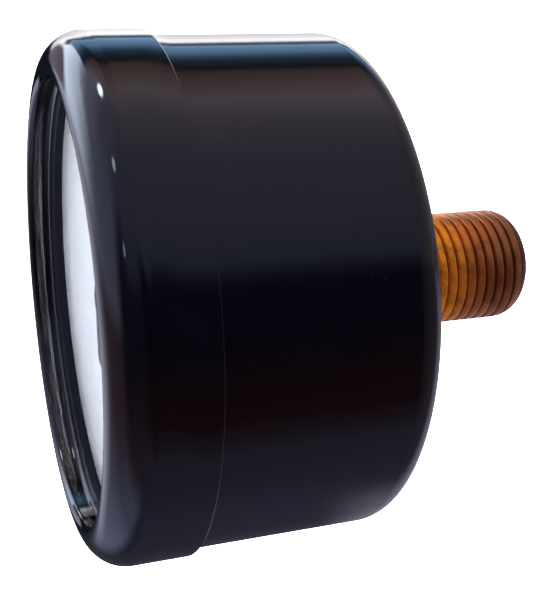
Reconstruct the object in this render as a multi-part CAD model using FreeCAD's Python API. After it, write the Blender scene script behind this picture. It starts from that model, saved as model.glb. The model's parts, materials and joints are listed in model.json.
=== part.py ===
"""Small dry Bourdon-tube pressure gauge with a centre-back threaded stem.

Millimetres. The dial faces -Y, twelve o'clock is +Z and the stem points along +Y. The origin is on
the gauge's axis at the shoulder where the thread starts. A clock angle is counted in degrees from
twelve o'clock, clockwise as seen from the front, which is a positive turn about +Y. A place is the
(x, z) of something that runs along Y.
"""

import FreeCAD, Part
import math
import os

# Case, bezel and window
case_radius = 20.6
case_wall = 0.6
case_depth = 24.0
case_back_fillet = 2.3
bezel_wall = 0.48
bezel_length = 7.4
bezel_rounding = 3.0
bezel_edge_rounding = 0.12
lip_radius = 17.55
lip_depth = 1.0
lip_land = 0.08
window_radius = 19.45
window_thickness = 1.8
window_chamfer = 0.2
gasket_inner_radius = 18.75
gasket_outer_radius = 20.4
gasket_thickness = 0.65
spacer_inner_radius = 18.8
spacer_outer_radius = 19.9
spacer_height = 1.45

# Dial and pointer
dial_radius = 19.8
dial_thickness = 0.4
dial_hole_radius = 1.6
scale_zero_angle = -90.0
pointer_tip_radius = 15.5
pointer_point_length = 0.6
pointer_tail_radius = 5.5
pointer_half_width = 0.5
pointer_tip_half_width = 0.15
pointer_tail_half_width = 0.8
pointer_eye_radius = 1.2
pointer_thickness = 0.15
pointer_lift = 0.15
hub_cap_radius = 1.0
hub_cap_height = 0.06
hub_barrel_radius = 0.9
hub_barrel_sink = 0.2
stop_pin_orbit = 12.6
stop_pin_radius = 0.4
stop_pin_rise = 0.3

# Movement: two plates on pillars, with the pinion on the gauge's axis and the sector beside it
plate_thickness = 0.8
plate_gap = 4.2
front_plate_centre_radius = 4.5
back_plate_centre_radius = 7.0
plate_arm_half_width = 1.9
pillar_places = [(-7.0, -5.8), (5.0, 8.3), (-4.6, 8.2)]
pillar_radius = 1.2
pillar_spigot_radius = 0.8
dial_screw_places = [(-7.4, 4.25), (7.4, 4.25)]
movement_screw_places = [(-5.2, 3.0), (2.6, -5.2)]
arbor_radius = 0.7
pivot_radius = 0.4
pointer_pivot_radius = 0.5
end_shake = 0.1
running_gap = 0.04
fitted_gap = 0.02

# Gears and linkage
gear_module = 0.2
pressure_angle = 20.0
gear_backlash = 0.05
tooth_dedendum = 0.24
pinion_teeth = 12
pinion_addendum = 0.16
pinion_leaf_lift = 1.3
pinion_leaf_length = 1.3
sector_full_teeth = 80
sector_kept_teeth = 12
sector_teeth_behind = 2.5
sector_addendum = 0.14
sector_travel = 27.0
sector_clock_angle = 115.7
sector_lift = 1.6
sector_thickness = 0.7
sector_root_radius = 1.0
sector_hub_radius = 1.5
sector_tail = 4.7
sector_tail_half_width = 0.95
link_pin_radius = 0.4
link_length = 5.0
link_lean = 0.05
link_thickness = 0.5
link_half_width = 0.8
link_eye_radius = 1.1
tip_hole_radius = 0.62
layer_gap = 0.1

# Hairspring
hairspring_lift = 3.2
hairspring_turns = 5
hairspring_outer_radius = 4.6
hairspring_strip = 0.1
hairspring_height = 0.4
hairspring_start_gap = 0.05
collet_radius = 1.3
collet_height = 0.6
stud_clock_angle = -135.0
stud_radius = 0.58
stud_spigot_radius = 0.4

# Bourdon tube and the plug on its free end
tube_radius = 14.5
tube_width = 6.0
tube_depth = 2.2
tube_wall = 0.25
tube_start_angle = 180.0
tube_sweep = 260.0
tube_standoff = 0.3
tip_plug_inward = 2.2
tip_plug_outward = 1.6
tip_plug_length = 2.6
tip_plug_lead = 6.0
tip_tab_half_width = 1.0
tip_tab_thickness = 0.6
socketed_angle = 25.0

# Socket and its stem (G 1/8 B: 28 threads per inch, 55 degree flanks)
thread_radius = 4.864
thread_pitch = 25.4 / 28
thread_depth = 0.581
thread_flank_angle = 27.5
thread_root_flat = 0.12
thread_relief = 0.31
thread_relief_radius = 4.18
groove_start = -0.41
stem_length = 12.4
stem_chamfer = 1.25
port_radius = 1.6
crossing_radius = 0.8
crossing_offset = 0.9
square_across_flats = 12.0
square_length = 4.4
square_clearance = 0.1
flange_radius = 11.5
flange_thickness = 2.0
block_radius = 7.5
arm_half_width = 3.4
arm_reach = 17.0
restrictor_depth = 2.0
restrictor_length = 3.0
restrictor_hole_radius = 0.25
restrictor_slot_width = 0.6
restrictor_slot_depth = 0.5

# Screws: shank radius, head radius, head height, slot width, length under the head
dial_screw = (0.6, 1.2, 0.3, 0.35, 1.4)
movement_screw = (0.8, 1.3, 0.5, 0.4, 3.2)
plate_screw = (0.7, 1.3, 0.7, 0.4, 3.4)
case_screw = (1.25, 2.2, 1.5, 0.6, 3.4)
dial_screw_sink = 0.2
case_screw_orbit = 9.0
case_screw_clearance = 0.15
slot_share = 0.45

# The stack along the axis, from the bezel's front to the back of the case
front_y = -(case_depth + square_length)
window_y = front_y + lip_depth
gasket_y = window_y + window_thickness
rim_y = gasket_y + gasket_thickness
dial_y = rim_y + spacer_height
front_plate_y = dial_y + dial_thickness
gap_y = front_plate_y + plate_thickness
back_plate_y = gap_y + plate_gap
block_y = back_plate_y + plate_thickness
back_y = front_y + case_depth
floor_y = back_y - case_wall
flange_y = floor_y - flange_thickness
pointer_y = dial_y - pointer_lift - pointer_thickness
sector_y = gap_y + sector_lift
link_y = sector_y + sector_thickness + layer_gap
tab_y = link_y + link_thickness + layer_gap
hairspring_y = gap_y + hairspring_lift
tube_y = block_y + tube_standoff
tube_middle_y = tube_y + tube_width / 2

pinion_pitch_radius = gear_module * pinion_teeth / 2
sector_pitch_radius = gear_module * sector_full_teeth / 2
centre_distance = pinion_pitch_radius + sector_pitch_radius
case_screw_places = [(-case_screw_orbit, 0), (case_screw_orbit, 0)]

ORIGIN = FreeCAD.Vector(0, 0, 0)
Y_AXIS = FreeCAD.Vector(0, 1, 0)
BEYOND = 1.0  # how far a cutting tool runs past the face that it cuts through
CORNER = math.sqrt(0.5)


def clock_place(radius, angle):
    """The place at a clock angle round the gauge's axis."""
    turn = math.radians(angle)
    return radius * math.sin(turn), radius * math.cos(turn)


def disc(radius, y0, y1, place=(0, 0)):
    """Cylinder from y0 to y1."""
    return Part.makeCylinder(radius, y1 - y0, FreeCAD.Vector(place[0], y0, place[1]), Y_AXIS)


def drill(radius, y0, y1, place=(0, 0)):
    """Cutting cylinder that runs past both y0 and y1."""
    return disc(radius, y0 - BEYOND, y1 + BEYOND, place)


def ring(inner, outer, y0, y1):
    return disc(outer, y0, y1).cut(drill(inner, y0, y1))


def block(x0, x1, y0, y1, z0, z1):
    return Part.makeBox(x1 - x0, y1 - y0, z1 - z0, FreeCAD.Vector(x0, y0, z0))


def turned(profile):
    """Solid of revolution about the gauge's axis. The profile lists (radius, y) corners, and a pair of
    such points in place of one is an arc: the point that it passes through, and its end."""
    here = FreeCAD.Vector(profile[0][0], profile[0][1], 0)
    edges = []
    for step in profile[1:] + [profile[0]]:
        if isinstance(step[0], tuple):
            through, end = [FreeCAD.Vector(r, y, 0) for r, y in step]
            edges.append(Part.Arc(here, through, end).toShape())
        else:
            end = FreeCAD.Vector(step[0], step[1], 0)
            edges.append(Part.makeLine(here, end))
        here = end
    return Part.Face(Part.Wire(edges)).revolve(ORIGIN, Y_AXIS, 360)


def quarter(centre_r, centre_y, radius, side_r, side_y, end):
    """Arc step for turned: a quarter circle by way of the corner that the two sides (+1 or -1) name."""
    through = (centre_r + side_r * radius * CORNER, centre_y + side_y * radius * CORNER)
    return through, end


def plate_of(outline, y0, y1):
    """Flat plate with an outline of places, from y0 to y1."""
    points = [FreeCAD.Vector(x, y0, z) for x, z in outline]
    face = Part.Face(Part.makePolygon(points + points[:1]))
    return face.extrude(FreeCAD.Vector(0, y1 - y0, 0))


def bar(start, end, half_width, y0, y1):
    """Flat bar with round ends between two places."""
    along_x, along_z = end[0] - start[0], end[1] - start[1]
    length = math.hypot(along_x, along_z)
    side_x, side_z = -along_z / length * half_width, along_x / length * half_width
    corners = [
        (start[0] + side_x, start[1] + side_z),
        (end[0] + side_x, end[1] + side_z),
        (end[0] - side_x, end[1] - side_z),
        (start[0] - side_x, start[1] - side_z),
    ]
    ends = [disc(half_width, y0, y1, start), disc(half_width, y0, y1, end)]
    return plate_of(corners, y0, y1).fuse(ends)


def clockwise(shape, angle):
    """The shape turned clockwise round the gauge's axis."""
    copy = shape.copy()
    copy.rotate(ORIGIN, Y_AXIS, angle)
    return copy


def screw(place, sizes, seat_y, side):
    """Cheese-head screw. Its head bears at seat_y, and its shank runs along +Y or, for side -1, -Y."""
    shank_radius, head_radius, head_height, slot_width, length = sizes
    shape = disc(head_radius, -head_height, 0).fuse(disc(shank_radius, 0, length))
    half = slot_width / 2
    reach = head_radius + BEYOND
    slot_floor = head_height * (slot_share - 1)
    slot = block(-reach, reach, -head_height - BEYOND, slot_floor, -half, half)
    shape = shape.cut(slot).removeSplitter()
    if side < 0:
        shape.rotate(ORIGIN, FreeCAD.Vector(1, 0, 0), 180)
    shape.translate(FreeCAD.Vector(place[0], seat_y, place[1]))
    return shape


def screws(places, sizes, seat_y, side=1):
    return Part.makeCompound([screw(place, sizes, seat_y, side) for place in places])


def arbor_place():
    """Where the sector's arbor stands."""
    return clock_place(centre_distance, sector_clock_angle)


def tail_place():
    """The pin at the end of the sector's tail, at rest: half the travel short of level."""
    turn = math.radians(sector_travel / 2)
    x, z = arbor_place()
    return x + sector_tail * math.cos(turn), z - sector_tail * math.sin(turn)


def tip_pin_place():
    """The pin of the tube's tip, at rest: at the far end of the link."""
    x, z = tail_place()
    return x + link_lean, z + link_length


def stop_pin_place():
    """Just past the zero mark, where the pointer comes to rest against it."""
    reach = pointer_half_width + stop_pin_radius
    return clock_place(stop_pin_orbit, scale_zero_angle - math.degrees(reach / stop_pin_orbit))


def stud_place():
    return clock_place(hairspring_outer_radius + stud_radius + fitted_gap, stud_clock_angle)


def make_case():
    """Drawn cup with a rounded back, a hole for the wrench square and holes for two screws."""
    outer, inner = case_radius, case_radius - case_wall
    centre_r, centre_y = outer - case_back_fillet, back_y - case_back_fillet
    inner_fillet = case_back_fillet - case_wall
    cup = turned([
        (outer, rim_y),
        (outer, centre_y),
        quarter(centre_r, centre_y, case_back_fillet, 1, 1, (centre_r, back_y)),
        (0, back_y),
        (0, floor_y),
        (centre_r, floor_y),
        quarter(centre_r, centre_y, inner_fillet, 1, 1, (inner, centre_y)),
        (inner, rim_y),
    ])
    half = square_across_flats / 2 + square_clearance
    holes = [wrench_square(half, floor_y - BEYOND, back_y + BEYOND)]
    holes += [drill(case_screw[0] + case_screw_clearance, floor_y, back_y, place)
              for place in case_screw_places]
    return cup.cut(holes)


def make_bezel():
    """Sheet ring pressed over the case: a rounded shoulder whose lip curls in on to the window."""
    inner = case_radius + fitted_gap
    outer = inner + bezel_wall
    centre_r, centre_y = outer - bezel_rounding, front_y + bezel_rounding
    inner_rounding = bezel_rounding - bezel_wall
    curl = centre_r - lip_radius
    curl_y = front_y + curl
    rear_y = front_y + bezel_length
    edge = bezel_edge_rounding
    return turned([
        (inner, rear_y),
        (outer - edge, rear_y),
        quarter(outer - edge, rear_y - edge, edge, 1, 1, (outer, rear_y - edge)),
        (outer, centre_y),
        quarter(centre_r, centre_y, bezel_rounding, 1, -1, (centre_r, front_y)),
        quarter(centre_r, curl_y, curl, -1, -1, (lip_radius, curl_y)),
        (lip_radius, window_y),
        (centre_r - lip_land, window_y),
        (centre_r, centre_y - inner_rounding),
        quarter(centre_r, centre_y, inner_rounding, 1, -1, (inner, centre_y)),
    ])


def make_window():
    return turned([
        (0, window_y),
        (window_radius - window_chamfer, window_y),
        (window_radius, window_y + window_chamfer),
        (window_radius, gasket_y - window_chamfer),
        (window_radius - window_chamfer, gasket_y),
        (0, gasket_y),
    ])


def make_dial():
    """Plain disc with its centre hole, two sunk screw holes and the hole of the stop pin."""
    seat_y = dial_y + dial_screw_sink
    holes = [drill(stop_pin_radius, dial_y, front_plate_y, stop_pin_place())]
    for place in dial_screw_places:
        holes.append(drill(dial_screw[0] + fitted_gap, dial_y, front_plate_y, place))
        holes.append(disc(dial_screw[1] + running_gap, dial_y - BEYOND, seat_y, place))
    return ring(dial_hole_radius, dial_radius, dial_y, front_plate_y).cut(holes)


def make_stop_pin():
    return disc(stop_pin_radius, pointer_y - stop_pin_rise, front_plate_y, stop_pin_place())


def make_pointer():
    """Needle drawn pointing to twelve o'clock and then turned to the zero mark."""
    y0, y1 = pointer_y, pointer_y + pointer_thickness
    shoulder = pointer_tip_radius - pointer_point_length
    needle = plate_of([
        (-pointer_half_width, 0),
        (-pointer_tip_half_width, shoulder),
        (0, pointer_tip_radius),
        (pointer_tip_half_width, shoulder),
        (pointer_half_width, 0),
    ], y0, y1)
    tail_end = (0, pointer_tail_half_width - pointer_tail_radius)
    tail = bar((0, 0), tail_end, pointer_tail_half_width, y0, y1)
    shape = needle.fuse([tail, disc(pointer_eye_radius, y0, y1)])
    shape = shape.cut(drill(hub_barrel_radius + fitted_gap, y0, y1))
    return clockwise(shape.removeSplitter(), scale_zero_angle)


def make_pointer_hub():
    """Low cap over the pointer's eye, with a barrel that reaches down into the dial's hole."""
    foot_y = dial_y + hub_barrel_sink
    cap = disc(hub_cap_radius, pointer_y - hub_cap_height, pointer_y)
    barrel = disc(hub_barrel_radius, pointer_y, foot_y)
    bore = disc(pointer_pivot_radius + fitted_gap, pointer_y - fitted_gap, foot_y + BEYOND)
    return cap.fuse(barrel).cut(bore)


def involute_opening(base_radius, radius):
    """Angle in radians by which an involute from base_radius has opened at radius."""
    if radius <= base_radius:
        return 0.0
    pressure = math.acos(base_radius / radius)
    return math.tan(pressure) - pressure


def tooth_flank(teeth, tip_radius, root_radius):
    """One side of a tooth, from root to tip: (radius, half the tooth's angle there in degrees)."""
    pitch_radius = gear_module * teeth / 2
    base_radius = pitch_radius * math.cos(math.radians(pressure_angle))
    half_at_pitch = (math.pi * gear_module / 2 - gear_backlash) / 2 / pitch_radius
    half_at_base = half_at_pitch + involute_opening(base_radius, pitch_radius)
    steps = 5
    flank = []
    for i in range(steps + 1):
        radius = root_radius + (tip_radius - root_radius) * i / steps
        half = half_at_base - involute_opening(base_radius, radius)
        flank.append((radius, math.degrees(half)))
    return flank


def toothed_outline(teeth, count, addendum, first_angle):
    """Outline of places round count teeth, clockwise, with the first tooth's middle at first_angle."""
    pitch_radius = gear_module * teeth / 2
    flank = tooth_flank(teeth, pitch_radius + addendum, pitch_radius - tooth_dedendum)
    outline = []
    for i in range(count):
        middle = first_angle + 360.0 / teeth * i
        outline += [clock_place(radius, middle - half) for radius, half in flank]
        outline += [clock_place(radius, middle + half) for radius, half in reversed(flank)]
    return outline


def make_pinion():
    """Pinion leaves and their arbor, whose front pivot carries the pointer."""
    leaf_y = gap_y + pinion_leaf_lift
    outline = toothed_outline(pinion_teeth, pinion_teeth, pinion_addendum, sector_clock_angle)
    leaves = plate_of(outline, leaf_y, leaf_y + pinion_leaf_length)
    body = disc(arbor_radius, gap_y + end_shake, back_plate_y - end_shake)
    front_pivot = disc(pointer_pivot_radius, pointer_y, gap_y + end_shake)
    back_pivot = disc(pivot_radius, back_plate_y - end_shake, block_y - end_shake)
    return leaves.fuse([body, front_pivot, back_pivot]).removeSplitter()


def make_sector_gear():
    """Sector with its hub and tail. It turns counter-clockwise from rest, by sector_travel."""
    y0, y1 = sector_y, sector_y + sector_thickness
    tooth_step = 360.0 / sector_full_teeth
    first_angle = sector_clock_angle - 180 - sector_teeth_behind * tooth_step
    last_angle = first_angle + tooth_step * (sector_kept_teeth - 1)
    outline = toothed_outline(sector_full_teeth, sector_kept_teeth, sector_addendum, first_angle)
    outline.append(clock_place(sector_root_radius, last_angle))
    outline.append(clock_place(sector_root_radius, first_angle))
    blade = plate_of(outline, y0, y1)
    blade.translate(FreeCAD.Vector(arbor_place()[0], 0, arbor_place()[1]))
    tail = bar(arbor_place(), tail_place(), sector_tail_half_width, y0, y1)
    hub = disc(sector_hub_radius, y0 - layer_gap * 4, tab_y - layer_gap, arbor_place())
    shape = blade.fuse([tail, hub]).cut([
        drill(arbor_radius + fitted_gap, y0, tab_y, arbor_place()),
        drill(link_pin_radius + fitted_gap, y0, y1, tail_place()),
    ])
    return shape.removeSplitter()


def make_sector_arbor():
    body = disc(arbor_radius, gap_y + end_shake, back_plate_y - end_shake, arbor_place())
    pivots = disc(pivot_radius, front_plate_y + end_shake, block_y - end_shake, arbor_place())
    return body.fuse(pivots).removeSplitter()


def make_sector_pin():
    return disc(link_pin_radius, sector_y, tab_y, tail_place())


def make_link():
    """Flat link that turns on the sector's pin. The tip's pin has play in its other, wider hole."""
    y0, y1 = link_y, link_y + link_thickness
    shape = bar(tail_place(), tip_pin_place(), link_half_width, y0, y1)
    shape = shape.fuse(disc(link_eye_radius, y0, y1, tip_pin_place())).cut([
        drill(link_pin_radius + running_gap, y0, y1, tail_place()),
        drill(tip_hole_radius, y0, y1, tip_pin_place()),
    ])
    return shape.removeSplitter()


def make_tip_pin():
    return disc(link_pin_radius, link_y - layer_gap, tab_y + tip_tab_thickness, tip_pin_place())


def flat_oval(width, depth):
    """Outline of a flattened tube in the XY plane, width along Y and depth along X."""
    r = depth / 2
    y0, y1 = tube_middle_y - width / 2, tube_middle_y + width / 2
    inner, outer = tube_radius - r, tube_radius + r
    outer_low, outer_high = FreeCAD.Vector(outer, y0 + r, 0), FreeCAD.Vector(outer, y1 - r, 0)
    inner_low, inner_high = FreeCAD.Vector(inner, y0 + r, 0), FreeCAD.Vector(inner, y1 - r, 0)
    return Part.Wire([
        Part.makeLine(outer_low, outer_high),
        Part.Arc(outer_high, FreeCAD.Vector(tube_radius, y1, 0), inner_high).toShape(),
        Part.makeLine(inner_high, inner_low),
        Part.Arc(inner_low, FreeCAD.Vector(tube_radius, y0, 0), outer_low).toShape(),
    ])


def tube_bend(width, depth, start_angle, sweep):
    """Solid of a flattened section bent round the gauge's axis."""
    face = Part.Face(flat_oval(width, depth))
    face.rotate(ORIGIN, Y_AXIS, start_angle - 90)
    return face.revolve(ORIGIN, Y_AXIS, sweep)


def tube_pocket(start_angle, sweep):
    """Room for the tube's end in the piece that it is soldered into."""
    return tube_bend(tube_width + 2 * fitted_gap, tube_depth + 2 * fitted_gap, start_angle, sweep)


def make_bourdon_tube():
    hollow = tube_bend(tube_width - 2 * tube_wall, tube_depth - 2 * tube_wall,
                       tube_start_angle - BEYOND, tube_sweep + 2 * BEYOND)
    return tube_bend(tube_width, tube_depth, tube_start_angle, tube_sweep).cut(hollow)


def make_tube_tip():
    """Plug on the tube's free end, with a tab that reaches in to the link."""
    end_angle = tube_start_angle + tube_sweep - 360
    plug = block(tube_radius - tip_plug_inward, tube_radius + tip_plug_outward,
                 tab_y, tube_y + tube_width + tube_standoff, -tip_plug_length, 0)
    plug = clockwise(plug, end_angle - 90 - tip_plug_lead)
    plug = plug.cut(tube_pocket(end_angle - socketed_angle, socketed_angle + 0.2))
    tab_root = clock_place(tube_radius - tip_tab_thickness, end_angle + tip_plug_lead / 2)
    tab = bar(tab_root, tip_pin_place(), tip_tab_half_width, tab_y, tab_y + tip_tab_thickness)
    pin_hole = drill(link_pin_radius + fitted_gap, tab_y, tab_y + tip_tab_thickness, tip_pin_place())
    return plug.fuse(tab).cut(pin_hole).removeSplitter()


def movement_plate(y0, centre_radius, arm_places, pinion_hole_radius):
    """Flat plate with a round centre, and a round-ended arm to each place and to the sector."""
    y1 = y0 + plate_thickness
    arms = [bar((0, 0), place, plate_arm_half_width, y0, y1)
            for place in arm_places + [arbor_place()]]
    holes = [
        drill(pinion_hole_radius, y0, y1),
        drill(pivot_radius + running_gap, y0, y1, arbor_place()),
    ]
    return disc(centre_radius, y0, y1).fuse(arms).cut(holes).removeSplitter()


def make_movement_front_plate():
    plate = movement_plate(front_plate_y, front_plate_centre_radius,
                           pillar_places + dial_screw_places, pointer_pivot_radius + running_gap)
    holes = [drill(pillar_spigot_radius + fitted_gap, front_plate_y, gap_y, place)
             for place in pillar_places]
    holes += [drill(dial_screw[0] + fitted_gap, front_plate_y, gap_y, place)
              for place in dial_screw_places]
    return plate.cut(holes)


def make_movement_back_plate():
    plate = movement_plate(back_plate_y, back_plate_centre_radius, pillar_places,
                           pivot_radius + running_gap)
    holes = [drill(plate_screw[0] + fitted_gap, back_plate_y, block_y, place)
             for place in pillar_places]
    holes += [drill(movement_screw[0] + fitted_gap, back_plate_y, block_y, place)
              for place in movement_screw_places]
    holes.append(drill(stud_spigot_radius, back_plate_y, block_y, stud_place()))
    return plate.cut(holes)


def make_pillars():
    """Posts between the plates, riveted into the front plate and tapped for the back plate's screws."""
    tapped_depth = plate_screw[4] - plate_thickness + end_shake * 4
    posts = []
    for place in pillar_places:
        post = disc(pillar_radius, gap_y, back_plate_y, place)
        post = post.fuse(disc(pillar_spigot_radius, front_plate_y, gap_y, place)).removeSplitter()
        tapped = disc(plate_screw[0] + fitted_gap, back_plate_y - tapped_depth, block_y, place)
        posts.append(post.cut(tapped))
    return Part.makeCompound(posts)


def make_hairspring_collet():
    y0 = hairspring_y - (collet_height - hairspring_height) / 2
    return ring(arbor_radius + fitted_gap, collet_radius, y0, y0 + collet_height)


def make_hairspring():
    """Flat spiral strip from the collet to the stud, and its outer end at the stud."""
    start_radius = collet_radius + hairspring_start_gap + hairspring_strip
    growth = (hairspring_outer_radius - start_radius) / hairspring_turns
    steps_per_turn = 24
    sides = []
    for inset in (0, hairspring_strip):
        points = []
        for i in range(steps_per_turn * hairspring_turns + 1):
            turns = i / steps_per_turn
            radius = start_radius + growth * turns - inset
            x, z = clock_place(radius, stud_clock_angle + 360 * turns)
            points.append(FreeCAD.Vector(x, hairspring_y, z))
        curve = Part.BSplineCurve()
        curve.interpolate(points)
        sides.append(curve.toShape())
    ends = [Part.makeLine(sides[0].Vertexes[end].Point, sides[1].Vertexes[end].Point)
            for end in (0, 1)]
    face = Part.Face(Part.Wire([sides[0], ends[1], sides[1], ends[0]]))
    return face.extrude(FreeCAD.Vector(0, hairspring_height, 0))


def make_hairspring_stud():
    """Post in the back plate that holds the hairspring's outer end."""
    post = disc(stud_radius, hairspring_y - layer_gap * 2, back_plate_y, stud_place())
    spigot = disc(stud_spigot_radius, back_plate_y, block_y - end_shake, stud_place())
    return post.fuse(spigot).removeSplitter()


def thread_groove():
    """The helical groove that leaves the thread's crests on the stem."""
    proud = 0.2
    root_radius, top_radius = thread_radius - thread_depth, thread_radius + proud
    half_root = thread_root_flat / 2
    half_top = half_root + (thread_depth + proud) * math.tan(math.radians(thread_flank_angle))
    helix = Part.makeHelix(thread_pitch, stem_length - groove_start + thread_pitch, root_radius)
    corners = [(root_radius, -half_root), (top_radius, -half_top),
               (top_radius, half_top), (root_radius, half_root)]
    points = [FreeCAD.Vector(r, 0, z) for r, z in corners]
    profile = Part.makePolygon(points + points[:1])
    groove = Part.Wire(helix.Edges).makePipeShell([profile], True, True)
    groove.rotate(ORIGIN, FreeCAD.Vector(1, 0, 0), -90)
    groove.translate(FreeCAD.Vector(0, groove_start, 0))
    return groove


def threaded_stem():
    """Thread from the relief to the stem's rounded end."""
    round_y, corner = stem_length - stem_chamfer, 0.3 * stem_chamfer
    envelope = turned([
        (0, 0),
        (thread_radius + BEYOND, 0),
        (thread_radius + BEYOND, round_y),
        (thread_radius, round_y),
        ((thread_radius - corner, stem_length - corner),
         (thread_radius - stem_chamfer, stem_length)),
        (0, stem_length),
    ])
    blank = disc(thread_radius, thread_relief, stem_length)
    return in_six_sectors(blank.cut(thread_groove())).common(envelope)


def in_six_sectors(shape):
    """The same shape with its faces divided every sixty degrees, so that each stretch of thread crest
    is a short face of its own."""
    sectors = []
    for i in range(6):
        corners = [(0, 0)] + [clock_place(2 * thread_radius, 60 * i + step) for step in (0, 30, 60)]
        sectors.append(shape.common(plate_of(corners, 0, stem_length)))
    return sectors[0].fuse(sectors[1:])


def wrench_square(half, y0, y1):
    """Square bar with its corners turned off."""
    return block(-half, half, y0, y1, -half, half).common(disc(half * 1.32, y0, y1))


def make_socket():
    """Brass socket in one piece: the threaded stem, the wrench square, the flange inside the case,
    the block that carries the movement, and the arm that the tube is soldered into."""
    overlap = 0.5
    body = wrench_square(square_across_flats / 2, floor_y, 0).fuse([
        disc(flange_radius, flange_y, floor_y),
        disc(block_radius, block_y, flange_y),
        block(-arm_half_width, arm_half_width, block_y, tube_y + tube_width + BEYOND,
              -arm_reach, -block_radius + BEYOND),
        disc(thread_relief_radius, -overlap, thread_relief + overlap),
        threaded_stem(),
    ])
    holes = [
        tube_pocket(tube_start_angle - tip_plug_lead, 40),
        disc(port_radius, tube_middle_y - BEYOND, stem_length + BEYOND),
        Part.makeCylinder(crossing_radius, tube_radius,
                          FreeCAD.Vector(crossing_offset, tube_middle_y, 0),
                          FreeCAD.Vector(0, 0, -1)),
    ]
    holes += [drill(case_screw[0] + fitted_gap, flange_y, floor_y, place)
              for place in case_screw_places]
    holes += [disc(movement_screw[0] + fitted_gap, block_y - BEYOND, block_y + 3 * BEYOND, place)
              for place in movement_screw_places]
    return body.cut(holes)


def make_restrictor():
    """Screw-in plug in the pressure port, with a fine hole that damps pressure surges."""
    y1 = stem_length - restrictor_depth
    y0 = y1 - restrictor_length
    half = restrictor_slot_width / 2
    slot = block(-port_radius, port_radius, y1 - restrictor_slot_depth, y1 + BEYOND, -half, half)
    return disc(port_radius - fitted_gap, y0, y1).cut([slot, drill(restrictor_hole_radius, y0, y1)])


parts = {
    "case": make_case(),
    "bezel": make_bezel(),
    "window": make_window(),
    "window_gasket": ring(gasket_inner_radius, gasket_outer_radius, gasket_y, rim_y),
    "spacer_ring": ring(spacer_inner_radius, spacer_outer_radius, rim_y, dial_y),
    "dial": make_dial(),
    "dial_screws": screws(dial_screw_places, dial_screw, dial_y + dial_screw_sink),
    "stop_pin": make_stop_pin(),
    "pointer": make_pointer(),
    "pointer_hub": make_pointer_hub(),
    "pinion": make_pinion(),
    "hairspring_collet": make_hairspring_collet(),
    "hairspring": make_hairspring(),
    "hairspring_stud": make_hairspring_stud(),
    "sector_gear": make_sector_gear(),
    "sector_arbor": make_sector_arbor(),
    "sector_pin": make_sector_pin(),
    "link": make_link(),
    "tip_pin": make_tip_pin(),
    "tube_tip": make_tube_tip(),
    "bourdon_tube": make_bourdon_tube(),
    "movement_front_plate": make_movement_front_plate(),
    "movement_back_plate": make_movement_back_plate(),
    "pillars": make_pillars(),
    "plate_screws": screws(pillar_places, plate_screw, block_y, -1),
    "movement_screws": screws(movement_screw_places, movement_screw, back_plate_y),
    "socket": make_socket(),
    "socket_screws": screws(case_screw_places, case_screw, back_y, -1),
    "restrictor": make_restrictor(),
}

os.makedirs("parts", exist_ok=True)
for node, shape in parts.items():
    shape.exportStep("parts/" + node + ".step")
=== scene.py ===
import json
import math

import bmesh
import bpy
from mathutils import Matrix, Vector


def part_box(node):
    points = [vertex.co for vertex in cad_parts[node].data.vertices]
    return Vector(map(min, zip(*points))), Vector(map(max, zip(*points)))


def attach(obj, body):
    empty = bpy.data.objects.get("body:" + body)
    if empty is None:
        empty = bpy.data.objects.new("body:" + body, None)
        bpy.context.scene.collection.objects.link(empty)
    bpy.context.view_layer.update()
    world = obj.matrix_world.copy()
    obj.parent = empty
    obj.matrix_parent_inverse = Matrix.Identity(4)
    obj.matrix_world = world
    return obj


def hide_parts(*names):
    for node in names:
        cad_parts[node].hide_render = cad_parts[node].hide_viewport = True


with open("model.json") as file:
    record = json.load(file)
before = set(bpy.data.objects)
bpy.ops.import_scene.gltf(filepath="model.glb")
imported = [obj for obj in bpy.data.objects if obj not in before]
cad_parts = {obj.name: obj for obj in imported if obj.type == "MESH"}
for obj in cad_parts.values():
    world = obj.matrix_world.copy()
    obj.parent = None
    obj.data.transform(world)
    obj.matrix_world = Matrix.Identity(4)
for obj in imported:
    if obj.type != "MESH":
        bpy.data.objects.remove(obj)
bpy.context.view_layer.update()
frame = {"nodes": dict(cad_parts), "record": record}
nodes = frame["nodes"]
scene = bpy.context.scene
MM = 0.001


# ---------------------------------------------------------------- node helpers
def link(tree, source, target):
    """Joins an output socket to an input socket."""
    tree.links.new(source, target)


def new_material(name):
    """A material with nothing but a principled shader in it."""
    material = bpy.data.materials.new(name)
    material.use_nodes = True
    tree = material.node_tree
    tree.nodes.clear()
    out = tree.nodes.new("ShaderNodeOutputMaterial")
    shader = tree.nodes.new("ShaderNodeBsdfPrincipled")
    link(tree, shader.outputs[0], out.inputs[0])
    return material, tree, shader


def noise(tree, scale, detail, roughness=0.55, stretch=(1, 1, 1)):
    """Noise in the object's own space; scale is features per metre."""
    where = tree.nodes.new("ShaderNodeTexCoord")
    mapping = tree.nodes.new("ShaderNodeMapping")
    mapping.inputs["Scale"].default_value = stretch
    node = tree.nodes.new("ShaderNodeTexNoise")
    node.inputs["Scale"].default_value = scale
    node.inputs["Detail"].default_value = detail
    node.inputs["Roughness"].default_value = roughness
    link(tree, where.outputs["Object"], mapping.inputs[0])
    link(tree, mapping.outputs[0], node.inputs["Vector"])
    return node


def grey_or_rgb(colour):
    """An RGB triple, given either as one or as a grey number."""
    return (colour,) * 3 if isinstance(colour, (int, float)) else colour


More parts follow.
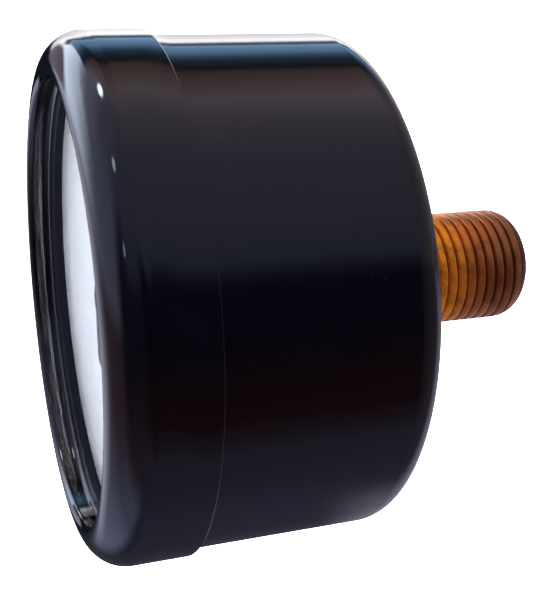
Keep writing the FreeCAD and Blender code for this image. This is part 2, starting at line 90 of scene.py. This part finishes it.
def ramp(tree, value, stops):
    """Colour ramp over value; stops are (place, colour) with a grey number or an RGB triple."""
    node = tree.nodes.new("ShaderNodeValToRGB")
    elements = node.color_ramp.elements
    while len(elements) < len(stops):
        elements.new(0.5)
    for element, (place, colour) in zip(elements, stops):
        element.position = place
        element.color = (*grey_or_rgb(colour), 1)
    link(tree, value, node.inputs[0])
    return node.outputs[0]


def mix(tree, factor, a, b):
    """a where the factor is 0 and b where it is 1; each may be a socket or a fixed colour."""
    node = tree.nodes.new("ShaderNodeMix")
    node.data_type = "RGBA"
    for socket, value in ((node.inputs[0], factor), (node.inputs[6], a), (node.inputs[7], b)):
        if isinstance(value, bpy.types.NodeSocket):
            link(tree, value, socket)
        elif socket.type == "VALUE":
            socket.default_value = value
        else:
            socket.default_value = (*grey_or_rgb(value), 1)
    return node.outputs[2]


def math_node(tree, operation, a, b=None, c=None):
    """Result of a maths node; each operand may be a socket or a number."""
    node = tree.nodes.new("ShaderNodeMath")
    node.operation = operation
    for socket, value in zip(node.inputs, (a, b, c)):
        if isinstance(value, bpy.types.NodeSocket):
            link(tree, value, socket)
        elif value is not None:
            socket.default_value = value
    return node.outputs[0]


def smooth(tree, value, low, high):
    """0 at low, 1 at high, with soft ends."""
    node = tree.nodes.new("ShaderNodeMapRange")
    node.interpolation_type = "SMOOTHSTEP"
    node.inputs["From Min"].default_value = low
    node.inputs["From Max"].default_value = high
    link(tree, value, node.inputs["Value"])
    return node.outputs[0]


def bump(tree, shader, height, strength, distance, before=None):
    """Bumps the shader's surface, on top of an earlier bump where one is given."""
    node = tree.nodes.new("ShaderNodeBump")
    node.inputs["Strength"].default_value = strength
    node.inputs["Distance"].default_value = distance
    link(tree, height, node.inputs["Height"])
    if before is not None:
        link(tree, before, node.inputs["Normal"])
    link(tree, node.outputs[0], shader.inputs["Normal"])
    return node.outputs[0]


# ---------------------------------------------------------------- materials
def enamel(name):
    """Gloss black stoved enamel: faint orange peel, dust specks and hair scratches."""
    material, tree, shader = new_material(name)
    cloud = noise(tree, 180, 3)
    base = ramp(tree, cloud.outputs[0], [
        (0.3, (0.0001, 0.0001, 0.00015)), (0.7, (0.00025, 0.0002, 0.0003))])
    dust = noise(tree, 5200, 1, 0.4)
    specks = ramp(tree, dust.outputs[0], [(0.78, 0.0), (0.815, 1.0)])
    colour = mix(tree, specks, base, (0.002, 0.002, 0.0025))
    link(tree, colour, shader.inputs["Base Color"])
    wear = noise(tree, 420, 5)
    gloss = ramp(tree, wear.outputs[0], [(0.25, 0.045), (0.75, 0.085)])
    rough = mix(tree, specks, gloss, 0.5)
    link(tree, rough, shader.inputs["Roughness"])
    shader.inputs["IOR"].default_value = 1.5
    peel = noise(tree, 650, 2)
    first = bump(tree, shader, peel.outputs[0], 0.05, 0.00005)
    scratches = noise(tree, 300, 2, 0.5, (1, 22, 1))
    bump(tree, shader, scratches.outputs[0], 0.02, 0.00003, first)
    return material


def metal(name, low, high, rough_low, rough_high, scale, stretch=(1, 1, 1), grain=0.06, patina=None):
    """Metal with a cloudy tone, tool marks and, where given, a darker patina."""
    material, tree, shader = new_material(name)
    shader.inputs["Metallic"].default_value = 1
    cloud = noise(tree, scale, 6)
    colour = ramp(tree, cloud.outputs[0], [(0.3, low), (0.7, high)])
    if patina is not None:
        spots = noise(tree, scale * 2.2, 8, 0.7)
        amount = ramp(tree, spots.outputs[0], [(0.5, 0.0), (0.72, 0.85)])
        colour = mix(tree, amount, colour, patina)
    link(tree, colour, shader.inputs["Base Color"])
    wear = noise(tree, scale * 3, 6, 0.6, stretch)
    rough = ramp(tree, wear.outputs[0], [(0.25, rough_low), (0.75, rough_high)])
    link(tree, rough, shader.inputs["Roughness"])
    bump(tree, shader, wear.outputs[0], grain, 0.0001)
    return material


def plastic(name, low, high, rough_low, rough_high, scale, strength, specular_ior=1.46, specular=0.5,
            square_on_painted_shade=None):
    """Matt moulded plastic, rubber or paint with a fine grain.

    The colour given for looking at it squarely, where there is one, is painted shade: the surface is darker
    seen squarely, so at a slant it reads brighter, a painted sheen.
    """
    material, tree, shader = new_material(name)
    cloud = noise(tree, scale / 6, 4)
    colour = ramp(tree, cloud.outputs[0], [(0.3, low), (0.7, high)])
    # Painted sheen: a darker colour where it is looked at squarely, the usual colour at a slant.
    if square_on_painted_shade is not None:
        slant = tree.nodes.new("ShaderNodeLayerWeight")
        slant.inputs["Blend"].default_value = 0.5
        colour = mix(tree, smooth(tree, slant.outputs["Facing"], 0.2, 0.7), square_on_painted_shade, colour)
    link(tree, colour, shader.inputs["Base Color"])
    grain = noise(tree, scale, 4)
    rough = ramp(tree, grain.outputs[0], [(0.3, rough_low), (0.7, rough_high)])
    link(tree, rough, shader.inputs["Roughness"])
    shader.inputs["IOR"].default_value = specular_ior
    shader.inputs["Specular IOR Level"].default_value = specular
    bump(tree, shader, grain.outputs[0], strength, 0.00005)
    return material


def glass(name):
    """Clear window with the least wiping haze."""
    material, tree, shader = new_material(name)
    shader.inputs["Base Color"].default_value = (0.985, 0.992, 0.992, 1)
    shader.inputs["Transmission Weight"].default_value = 1
    shader.inputs["Specular Tint"].default_value = (0.35, 0.35, 0.36, 1)
    shader.inputs["IOR"].default_value = 1.5
    haze = noise(tree, 120, 5, 0.6, (1, 1, 3))
    rough = ramp(tree, haze.outputs[0], [(0.4, 0.0), (0.8, 0.035)])
    link(tree, rough, shader.inputs["Roughness"])
    return material


MATERIALS = {
    "black_enamel": enamel("black_enamel_gloss"),
    "window_glass": glass("window_glass_clear"),
    "black_rubber": plastic(
        "black_rubber_matt", (0.002, 0.002, 0.003), (0.004, 0.004, 0.006), 0.6, 0.8,
        scale=1500, strength=0.12, specular_ior=1.25, specular=0.0),
    "black_plastic": plastic(
        "black_plastic_matt", (0.0015, 0.0015, 0.0025), (0.003, 0.003, 0.005), 0.75, 0.9,
        scale=1100, strength=0.06, specular_ior=1.2, specular=0.0),
    # The dial paint is darker where it is looked at squarely: painted shade that makes it read brighter at
    # a slant.
    "dial_white": plastic(
        "dial_white_enamel", (0.84, 0.845, 0.88), (0.88, 0.885, 0.91), 0.42, 0.55,
        scale=1600, strength=0.05, square_on_painted_shade=(0.60, 0.605, 0.62)),
    "pointer_black": plastic(
        "pointer_black_satin", (0.010, 0.010, 0.011), (0.02, 0.02, 0.021), 0.3, 0.42,
        scale=1400, strength=0.05),
    "nickel": metal("nickel_bright", (0.52, 0.50, 0.46), (0.66, 0.64, 0.60), 0.12, 0.3, scale=500),
    "brass": metal(
        "brass_turned", (0.62, 0.40, 0.16), (0.78, 0.55, 0.25), 0.2, 0.42,
        scale=350, stretch=(1, 8, 1), grain=0.05, patina=(0.30, 0.15, 0.06)),
    "tube_bronze": metal(
        "tube_bronze_drawn", (0.48, 0.27, 0.13), (0.64, 0.38, 0.2), 0.22, 0.4,
        scale=300, stretch=(1, 5, 1), grain=0.05, patina=(0.2, 0.1, 0.06)),
    "spring_bronze": metal(
        "spring_bronze_rolled", (0.55, 0.34, 0.16), (0.7, 0.45, 0.24), 0.18, 0.32, scale=900),
    "steel": metal(
        "steel_zinc", (0.48, 0.49, 0.52), (0.62, 0.62, 0.64), 0.2, 0.42,
        scale=600, grain=0.05, patina=(0.33, 0.33, 0.36)),
}


def finish_node(name, slot):
    """Gives a node of the design its look; its shape stays."""
    mesh = nodes[name].data
    mesh.materials.clear()
    mesh.materials.append(MATERIALS[slot])


for subpart in frame["record"]["subparts"]:
    finish_node(subpart["node"], subpart["material_slot"])


def clock(radius, degrees):
    """The (x, z) at a clock angle round the gauge's axis."""
    turn = math.radians(degrees)
    return radius * math.sin(turn), radius * math.cos(turn)


# ---------------------------------------------------------------- threaded stem
# Millimetres. The stem runs from the shoulder at 0 to STEM_END; between DARK_BELOW and DARKEST_BELOW, which
# are radii, the colour darkens towards the groove roots: painted shade, with some patina.
PITCH, STEM_END, STEM_RADIUS = 25.4 / 28, 12.4, 4.864
GROOVE_AT, RELIEF_END, RELIEF_RADIUS = -0.41, 0.31, 4.18
CREST_HEIGHT, CREST_WEAR = 0.02, 0.07
GROOVE_DEPTH, GROOVE_WIDTH = 0.24, 0.10
RUNOUT = 0.15
END_ROUNDING, END_HEIGHT = 2.3, 0.01
BORE, BORE_CHAMFER = 1.6, 0.18
DARK_BELOW, DARKEST_BELOW = 4.76, 4.55


def tarnished_brass(name):
    """Brass, golden by the case and copper brown towards its end: tarnish, with painted light making it
    brighter by the case; painted shade, with some patina, darkens it down in the grooves.
    """
    material, tree, shader = new_material(name)
    where = tree.nodes.new("ShaderNodeTexCoord")
    split = tree.nodes.new("ShaderNodeSeparateXYZ")
    link(tree, where.outputs["Object"], split.inputs[0])
    x, y, z = split.outputs
    cloud = noise(tree, 260, 5, 0.6, (1, 0.5, 1))
    along = math_node(tree, "MULTIPLY_ADD", y, 1 / (STEM_END * MM), 0.02)
    along = math_node(tree, "ADD", along, math_node(tree, "MULTIPLY_ADD", cloud.outputs[0], 0.5, -0.25))
    # Colour along the stem: tarnish, and painted light that makes the case end brighter than the far end.
    colour = ramp(tree, along, [
        (0.06, (1.0, 0.36, 0.01)), (0.30, (0.95, 0.31, 0.02)), (0.52, (0.62, 0.19, 0.04)),
        (0.80, (0.40, 0.14, 0.05)), (1.0, (0.50, 0.20, 0.08))])
    metallic = ramp(tree, along, [(0.1, 0.95), (0.35, 0.96), (0.6, 0.985), (1.0, 0.99)])
    link(tree, metallic, shader.inputs["Metallic"])
    spots = noise(tree, 520, 8, 0.68)
    patina = ramp(tree, spots.outputs[0], [(0.46, 0.0), (0.70, 0.8)])
    colour = mix(tree, patina, colour, (0.24, 0.075, 0.025))
    # Painted shade, with some patina: the colour darkens towards the groove roots.
    square = math_node(tree, "MULTIPLY_ADD", x, x, math_node(tree, "MULTIPLY", z, z))
    radius = math_node(tree, "SQRT", square)
    depth = smooth(tree, radius, DARK_BELOW * MM, DARKEST_BELOW * MM)
    colour = mix(tree, depth, colour, (0.10, 0.036, 0.018))
    link(tree, colour, shader.inputs["Base Color"])
    wear = noise(tree, 1500, 6, 0.6)
    rough = ramp(tree, wear.outputs[0], [(0.25, 0.27), (0.75, 0.47)])
    link(tree, rough, shader.inputs["Roughness"])
    first = bump(tree, shader, wear.outputs[0], 0.16, 0.00004)
    dents = noise(tree, 420, 4, 0.6)
    bump(tree, shader, dents.outputs[0], 0.14, 0.00008, first)
    return material


def stem_radius(y, degrees):
    """Radius of the threaded stem: broad worn crests with narrow grooves, and a rounded end."""
    if y < RELIEF_END:
        return RELIEF_RADIUS
    turns = (y - GROOVE_AT) / PITCH - (degrees - 90) / 360
    off_groove = abs(turns - round(turns)) * PITCH
    crown = 1 - off_groove / (PITCH / 2)
    crest = STEM_RADIUS + CREST_HEIGHT - CREST_WEAR * crown ** 2
    radius = crest - GROOVE_DEPTH * math.exp(-(off_groove / GROOVE_WIDTH) ** 2)
    radius = RELIEF_RADIUS + (radius - RELIEF_RADIUS) * min(1, (y - RELIEF_END) / RUNOUT)
    into_end = y - (STEM_END - END_ROUNDING)
    if into_end > 0:
        arc = END_ROUNDING * (1 - math.sqrt(max(0, 1 - (into_end / END_ROUNDING) ** 2)))
        radius = min(radius, STEM_RADIUS + END_HEIGHT - arc)
    return radius


def threaded_stem():
    """Rings of points along the outside, over the end and back through the bore, closed into a tube."""
    steps, step_y = 128, 0.035
    rows = [0.0] + [step_y * i for i in range(1, int(STEM_END / step_y) + 1)] + [STEM_END]
    vertices, faces = [], []

    def ring(radius_at, y):
        for j in range(steps):
            degrees = 360 * j / steps
            px, pz = clock(radius_at(degrees), degrees)
            vertices.append(Vector((px, y, pz)) * MM)

    for y in rows:
        ring(lambda degrees, y=y: stem_radius(y, degrees), y)
    ring(lambda degrees: BORE + BORE_CHAMFER, STEM_END)
    ring(lambda degrees: BORE, STEM_END - BORE_CHAMFER)
    ring(lambda degrees: BORE, 0.0)
    count = len(vertices) // steps
    for i in range(count):
        k = (i + 1) % count
        for j in range(steps):
            n = (j + 1) % steps
            faces.append((i * steps + j, i * steps + n, k * steps + n, k * steps + j))
    mesh = bpy.data.meshes.new("stem_thread")
    mesh.from_pydata(vertices, [], faces)
    mesh.update()
    return mesh


def socket_body():
    """The socket up to the thread's shoulder: square, flange, movement block and tube arm."""
    same_point = 1e-7
    same_rim_point = 2e-6
    form = bmesh.new()
    form.from_mesh(nodes["socket"].data)
    bmesh.ops.remove_doubles(form, verts=form.verts, dist=same_point)
    everything = form.verts[:] + form.edges[:] + form.faces[:]
    bmesh.ops.bisect_plane(form, geom=everything, plane_co=(0, 0, 0), plane_no=(0, 1, 0))
    stem = [face for face in form.faces if face.calc_center_median().y > same_point]
    bmesh.ops.delete(form, geom=stem, context="FACES")
    rim_points = [point for point in form.verts if point.is_boundary]
    bmesh.ops.remove_doubles(form, verts=rim_points, dist=same_rim_point)
    bmesh.ops.dissolve_degenerate(form, dist=same_point, edges=form.edges)
    rim = [edge for edge in form.edges if edge.is_boundary]
    bmesh.ops.triangle_fill(form, edges=rim, use_beauty=True, normal=(0, 1, 0))
    mesh = bpy.data.meshes.new("socket_body")
    form.to_mesh(mesh)
    form.free()
    return mesh


def brass_piece(name, mesh, material):
    """A piece that stands in for the design's socket and rides with the housing."""
    piece = bpy.data.objects.new(name, mesh)
    scene.collection.objects.link(piece)
    mesh.materials.clear()
    mesh.materials.append(material)
    mesh.shade_smooth()
    mesh.set_sharp_from_angle(angle=math.radians(35))
    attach(piece, "housing")
    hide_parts("socket")


brass_piece("stem_thread", threaded_stem(), tarnished_brass("stem_brass_tarnish_and_painted_light"))
brass_piece("socket_body", socket_body(), MATERIALS["brass"])


# ---------------------------------------------------------------- dial print
ink = plastic(
    "dial_ink_black", (0.008, 0.008, 0.010), (0.016, 0.016, 0.018), 0.4, 0.55,
    scale=1800, strength=0.05)
DIAL_FRONT = -23.5
INK, INK_BURIED = 0.02, 0.005
TOP_NUMBER, NUMBER_STEP = 10, 2
SCALE_START, SCALE_SWEEP, DIVISIONS = -90, 180, 50
TICK_OUTER, ARC_OUTER = 16.9, 17.1
LONG_TICK, SHORT_TICK = (14.4, 0.16), (15.7, 0.07)
LONG_TICK_EVERY = 5
NUMBER_RADIUS, NUMBER_LOWEST, NUMBER_HEIGHT = 12.2, 1.5, 2.6


def ink_piece(name, vertices, faces):
    """A piece of print that rides with the housing."""
    mesh = bpy.data.meshes.new(name)
    mesh.from_pydata(vertices, [], faces)
    mesh.update()
    piece = bpy.data.objects.new(name, mesh)
    scene.collection.objects.link(piece)
    mesh.materials.append(ink)
    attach(piece, "housing")


def add_prism(vertices, faces, outline):
    """Closed prism with an (x, z) outline in millimetres, from the dial's front face outwards."""
    count, first = len(outline), len(vertices)
    for y in (DIAL_FRONT + INK_BURIED, DIAL_FRONT - INK):
        vertices.extend(Vector((x, y, z)) * MM for x, z in outline)
    faces.append([first + i for i in range(count)])
    faces.append([first + count + i for i in reversed(range(count))])
    for i in range(count):
        j = (i + 1) % count
        faces.append([first + j, first + i, first + count + i, first + count + j])


def add_tick(vertices, faces, degrees, inner, half_width):
    """Radial tick from the inner radius out to the scale's arc."""
    x0, z0 = clock(1, degrees)
    x1, z1 = clock(1, degrees + 90)
    corners = [(inner, -half_width), (TICK_OUTER, -half_width),
               (TICK_OUTER, half_width), (inner, half_width)]
    add_prism(vertices, faces, [(r * x0 + s * x1, r * z0 + s * z1) for r, s in corners])


def scale_ticks():
    """Fifty divisions over the upper half of the dial, every fifth one long."""
    vertices, faces = [], []
    for i in range(DIVISIONS + 1):
        degrees = SCALE_START + SCALE_SWEEP * i / DIVISIONS
        inner, half_width = LONG_TICK if i % LONG_TICK_EVERY == 0 else SHORT_TICK
        add_tick(vertices, faces, degrees, inner, half_width)
    ink_piece("dial_ticks", vertices, faces)


def scale_arc():
    """The line that joins the outer ends of the ticks."""
    vertices, faces = [], []
    angles = range(SCALE_START, SCALE_START + SCALE_SWEEP + 1, 2)
    outside = [clock(ARC_OUTER, a) for a in angles]
    inside = [clock(TICK_OUTER, a) for a in reversed(angles)]
    add_prism(vertices, faces, outside + inside)
    ink_piece("dial_arc", vertices, faces)


def scale_number(value):
    """The number at its place on the scale, lifted where it would sink under the scale's ends."""
    x, z = clock(NUMBER_RADIUS, SCALE_START + SCALE_SWEEP * value / TOP_NUMBER)
    z = max(z, NUMBER_LOWEST)
    curve = bpy.data.curves.new("dial_number_%d" % value, "FONT")
    curve.body = str(value)
    curve.size = NUMBER_HEIGHT * MM
    curve.align_x, curve.align_y = "CENTER", "CENTER"
    curve.extrude = INK / 2 * MM
    curve.resolution_u = 6
    text = bpy.data.objects.new("number_curve", curve)
    scene.collection.objects.link(text)
    place = Matrix.Translation(Vector((x, DIAL_FRONT - INK / 2, z)) * MM)
    text.matrix_world = place @ Matrix.Rotation(math.pi / 2, 4, "X")
    bpy.context.view_layer.update()
    mesh = bpy.data.meshes.new_from_object(text.evaluated_get(bpy.context.evaluated_depsgraph_get()))
    mesh.transform(text.matrix_world)
    bpy.data.objects.remove(text)
    mesh.materials.clear()
    mesh.materials.append(ink)
    number = bpy.data.objects.new("dial_number_%d" % value, mesh)
    scene.collection.objects.link(number)
    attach(number, "housing")


scale_ticks()
scale_arc()
for value in range(0, TOP_NUMBER + 1, NUMBER_STEP):
    scale_number(value)


# ---------------------------------------------------------------- floor
FLOOR_HALF = 4.0


def pale_floor(height):
    """Plain floor that is seen and that catches shadows, but isn't mirrored in the gauge."""
    corners = [(x * FLOOR_HALF, y * FLOOR_HALF, height) for x, y in ((-1, -1), (1, -1), (1, 1), (-1, 1))]
    mesh = bpy.data.meshes.new("floor")
    mesh.from_pydata(corners, [], [(0, 1, 2, 3)])
    floor = bpy.data.objects.new("floor", mesh)
    scene.collection.objects.link(floor)
    floor.visible_glossy = False
    floor.visible_transmission = False
    material, tree, shader = new_material("floor_pale")
    cloud = noise(tree, 3, 3)
    link(tree, ramp(tree, cloud.outputs[0], [(0.3, 0.86), (0.7, 0.9)]), shader.inputs["Base Color"])
    shader.inputs["Roughness"].default_value = 0.9
    shader.inputs["Specular IOR Level"].default_value = 0.0
    mesh.materials.append(material)


pale_floor(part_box("bezel")[0].z)


# ---------------------------------------------------------------- surroundings
# The studio is painted as colours against direction. Rings of colour run round the gauge's axis: the side
# ring is what the case and the bezel's rim mirror, and the front ring is what the bezel's face mirrors.
# Ring stops are (clock angle, colour).
SIDE_RING = [
    (-180, (0.9, 0.85, 0.9)), (-172, (1.0, 0.95, 1.05)), (-162, (1.9, 1.9, 2.0)), (-157, (3.1, 3.1, 3.1)),
    (-155, (3.1, 3.1, 3.1)), (-153, (0.9, 0.95, 1.05)), (-151.5, (0.10, 0.12, 0.22)),
    (-150, (0.12, 0.22, 0.42)), (-147.5, (0.80, 1.22, 1.85)), (-145, (0.50, 0.95, 1.55)),
    (-140, (0.43, 0.82, 1.32)), (-136, (0.20, 0.39, 0.63)), (-132, (0.08, 0.15, 0.23)),
    (-124.5, (0.06, 0.06, 0.08)), (-122, (0.30, 0.20, 0.18)), (-115, (0.54, 0.36, 0.37)),
    (-103, (0.90, 0.72, 0.85)), (-96, (0.78, 0.66, 0.83)), (-89, (0.65, 0.56, 0.73)),
    (-72, (0.48, 0.45, 0.63)), (-42, (0.38, 0.39, 0.56)), (-26, (0.27, 0.30, 0.52)),
    (-21, (0.13, 0.14, 0.28)), (-15, (0.045, 0.03, 0.09)), (10, (0.04, 0.03, 0.08)),
    (25, (0.09, 0.035, 0.055)), (42, (0.12, 0.045, 0.07)), (53, (0.17, 0.12, 0.18)),
    (59, (0.19, 0.19, 0.30)), (90, (0.16, 0.17, 0.28)), (120, (0.08, 0.08, 0.12)),
    (180, (0.04, 0.04, 0.05)),
]
FRONT_RING = [
    (-180, (1.2, 1.4, 1.8)), (-172, (2.6, 2.9, 3.6)), (-162, (3.2, 3.7, 4.6)), (-142, (3.2, 3.6, 4.5)),
    (-136, (1.6, 1.7, 2.3)), (-128, (0.85, 0.88, 1.2)), (-117, (0.9, 0.9, 1.3)), (-103, (0.60, 0.56, 0.82)),
    (-90, (0.60, 0.60, 0.88)), (-72, (0.40, 0.42, 0.62)), (-50, (0.35, 0.37, 0.58)),
    (-30, (0.25, 0.28, 0.5)), (-15, (0.08, 0.08, 0.18)), (5, (0.06, 0.05, 0.11)),
    (30, (0.12, 0.08, 0.12)), (50, (0.2, 0.13, 0.18)),
    (68, (0.24, 0.18, 0.25)), (85, (0.50, 0.55, 0.8)), (100, (0.42, 0.46, 0.75)), (115, (0.48, 0.55, 0.85)),
    (137, (0.38, 0.40, 0.60)), (152, (0.95, 1.0, 1.35)), (165, (0.85, 0.82, 1.1)), (180, (0.9, 0.95, 1.25)),
]
# How far the side ring is turned, as a share of BEND_DEGREES, against 2 dy + 0.4.
BEND = [
    (0.16, 0.8), (0.22, 0.8), (0.30, 0.4), (0.40, 0.1),
    (0.64, 0.1), (0.74, 0.4), (0.85, 0.4), (0.89, 0.0),
]
BEND_DEGREES = 10
# Spots are (direction, radius in degrees, colour): a faint one by six o'clock, then three small lamps.
SPOTS = [
    ((-0.17, -0.28, -0.945), 11, (0.38, 0.29, 0.40)),
    ((-0.90, -0.27, -0.34), 4.5, (16, 19, 20)),
    ((-0.82, -0.53, 0.20), 3.5, (4.8, 5.7, 6)),
    ((-0.44, -0.70, 0.56), 3.0, (2.4, 2.9, 3)),
]
PALE_PATCH = (1.6, 1.6, 1.6)
DARK_PATCH = (0.012, 0.014, 0.024)
BACK_PATCH = (0.50, 0.48, 0.62)
SCATTERED_LIGHT = (4.5, 4.75, 5.3)
BACKDROP = (0.95, 0.95, 0.95)


def scaled(tree, vector, factor):
    """The vector or colour times a number."""
    node = tree.nodes.new("ShaderNodeVectorMath")
    node.operation = "SCALE"
    node.inputs["Scale"].default_value = factor
    link(tree, vector, node.inputs[0])
    return node.outputs[0]


def product(tree, first, *others):
    """All the factors multiplied together."""
    for other in others:
        first = math_node(tree, "MULTIPLY", first, other)
    return first


def ring_of_colour(tree, turn, stops):
    """Colour round the gauge's axis. The ramp holds colours up to 1, so they are scaled down and back."""
    top = max(max(colour) for _, colour in stops)
    low = [((angle + 180) / 360, tuple(c / top for c in colour)) for angle, colour in stops]
    return scaled(tree, ramp(tree, turn, low), top)


def side_surroundings(tree, dy, turn):
    """The side ring, turned a little more or less with dy, and a pale patch by six o'clock."""
    bend = ramp(tree, math_node(tree, "MULTIPLY_ADD", dy, 2, 0.4), BEND)
    shifted = math_node(tree, "MULTIPLY_ADD", bend, BEND_DEGREES / 360, turn)
    side = ring_of_colour(tree, shifted, SIDE_RING)
    pale = product(tree, smooth(tree, dy, 0.148, 0.165), smooth(tree, dy, 0.45, 0.38),
                   smooth(tree, turn, 0.965, 0.98))
    return mix(tree, pale, side, PALE_PATCH)


def towards_front(tree, forward, turn):
    """0 where the side ring is, 1 where the front ring is, and a sharp change from six to eight o'clock."""
    soft = smooth(tree, forward, 0.12, 0.36)
    tilt = math_node(tree, "MAXIMUM", math_node(tree, "MULTIPLY_ADD", turn, 2.7, -0.195), 0)
    sharp = smooth(tree, math_node(tree, "SUBTRACT", forward, tilt), 0.15, 0.19)
    change = product(tree, math_node(tree, "SUBTRACT", sharp, soft), smooth(tree, turn, 0.16, 0.12))
    return math_node(tree, "ADD", soft, change)


def dark_patch(tree, forward, turn):
    """1 within the dark patch by six o'clock that the wall round the dial mirrors."""
    below = math_node(tree, "FRACT", math_node(tree, "ADD", turn, 0.1))
    return product(tree, smooth(tree, below, 0.1235, 0.1139), smooth(tree, below, 0.0, 0.03),
                   smooth(tree, forward, 0.27, 0.20), smooth(tree, forward, -0.06, -0.02))


def spot(tree, direction, towards, radius):
    """1 within a small round spot of the surroundings."""
    node = tree.nodes.new("ShaderNodeVectorMath")
    node.operation = "DOT_PRODUCT"
    node.inputs[1].default_value = Vector(towards).normalized()
    link(tree, direction, node.inputs[0])
    edge, full = math.cos(math.radians(radius)), math.cos(math.radians(radius * 0.6))
    return smooth(tree, node.outputs["Value"], edge, full)


def surroundings(tree, direction):
    """Colour of the studio along a direction; turn is the clock angle, 0 and 1 at six o'clock."""
    split = tree.nodes.new("ShaderNodeSeparateXYZ")
    link(tree, direction, split.inputs[0])
    dx, dy, dz = split.outputs
    turn = math_node(tree, "DIVIDE", math_node(tree, "ARCTAN2", dx, dz), 2 * math.pi)
    turn = math_node(tree, "ADD", turn, 0.5)
    forward = math_node(tree, "MULTIPLY", dy, -1)

    side = side_surroundings(tree, dy, turn)
    front = ring_of_colour(tree, turn, FRONT_RING)
    colour = mix(tree, towards_front(tree, forward, turn), side, front)
    colour = mix(tree, dark_patch(tree, forward, turn), colour, DARK_PATCH)

    ahead = mix(tree, smooth(tree, dx, -0.02, 0.18), (0.72, 0.78, 1.15), (0.33, 0.21, 0.28))
    ahead = mix(tree, smooth(tree, dz, 0.12, 0.48), ahead, (0.07, 0.05, 0.12))
    colour = mix(tree, smooth(tree, forward, 0.55, 0.9), colour, ahead)

    behind = mix(tree, smooth(tree, turn, 0.42, 0.47), (0.36, 0.32, 0.38), (0.20, 0.16, 0.22))
    colour = mix(tree, smooth(tree, dy, 0.42, 0.8), colour, behind)
    back = product(tree, smooth(tree, dy, 0.33, 0.41), smooth(tree, turn, 0.74, 0.80),
                   smooth(tree, turn, 0.96, 0.90))
    colour = mix(tree, back, colour, BACK_PATCH)

    for towards, radius, spot_colour in SPOTS:
        colour = mix(tree, spot(tree, direction, towards, radius), colour, spot_colour)
    return colour


def studio_world():
    """The painted surroundings for mirrored rays, an even light for scattered rays and a white backdrop."""
    world = bpy.data.worlds.new("studio")
    scene.world = world
    world.use_nodes = True
    tree = world.node_tree
    tree.nodes.clear()
    where = tree.nodes.new("ShaderNodeTexCoord")
    light_path = tree.nodes.new("ShaderNodeLightPath")
    background = tree.nodes.new("ShaderNodeBackground")
    out = tree.nodes.new("ShaderNodeOutputWorld")
    colour = surroundings(tree, where.outputs["Generated"])
    scattered = math_node(tree, "GREATER_THAN", light_path.outputs["Diffuse Depth"], 0.5)
    colour = mix(tree, scattered, colour, SCATTERED_LIGHT)
    colour = mix(tree, light_path.outputs["Is Camera Ray"], colour, BACKDROP)
    link(tree, colour, background.inputs[0])
    link(tree, background.outputs[0], out.inputs[0])


studio_world()


# ---------------------------------------------------------------- suns and camera
def sun(name, towards, strength, degrees):
    """Soft sun that shines from a direction and isn't mirrored in the gauge."""
    data = bpy.data.lights.new(name, "SUN")
    data.energy = strength
    data.angle = math.radians(degrees)
    lamp = bpy.data.objects.new(name, data)
    scene.collection.objects.link(lamp)
    lamp.matrix_world = Vector(towards).to_track_quat("Z", "Y").to_matrix().to_4x4()
    lamp.visible_glossy = False


def place_camera():
    """Close camera over the gauge's twelve o'clock and a little before its dial; the stem points right."""
    data = bpy.data.cameras.new("camera")
    data.lens = 65.65
    data.sensor_width = 36
    data.clip_start = 0.002
    data.clip_end = 20
    camera = bpy.data.objects.new("camera", data)
    scene.collection.objects.link(camera)
    right, up, back = (0, 0.9417, 0.3364), (-0.9630, 0.0907, -0.2539), (-0.2696, -0.3240, 0.9068)
    turned = Matrix((right, up, back)).transposed().to_4x4()
    camera.matrix_world = Matrix.Translation(Vector((-23.64, -39.76, 83.18)) * MM) @ turned
    scene.camera = camera


sun("key", (-0.45, -0.65, 0.60), 2.9, 40)
sun("fill", (0.1, -0.1, 1.0), 2.3, 90)
place_camera()
scene.view_settings.view_transform = "Standard"
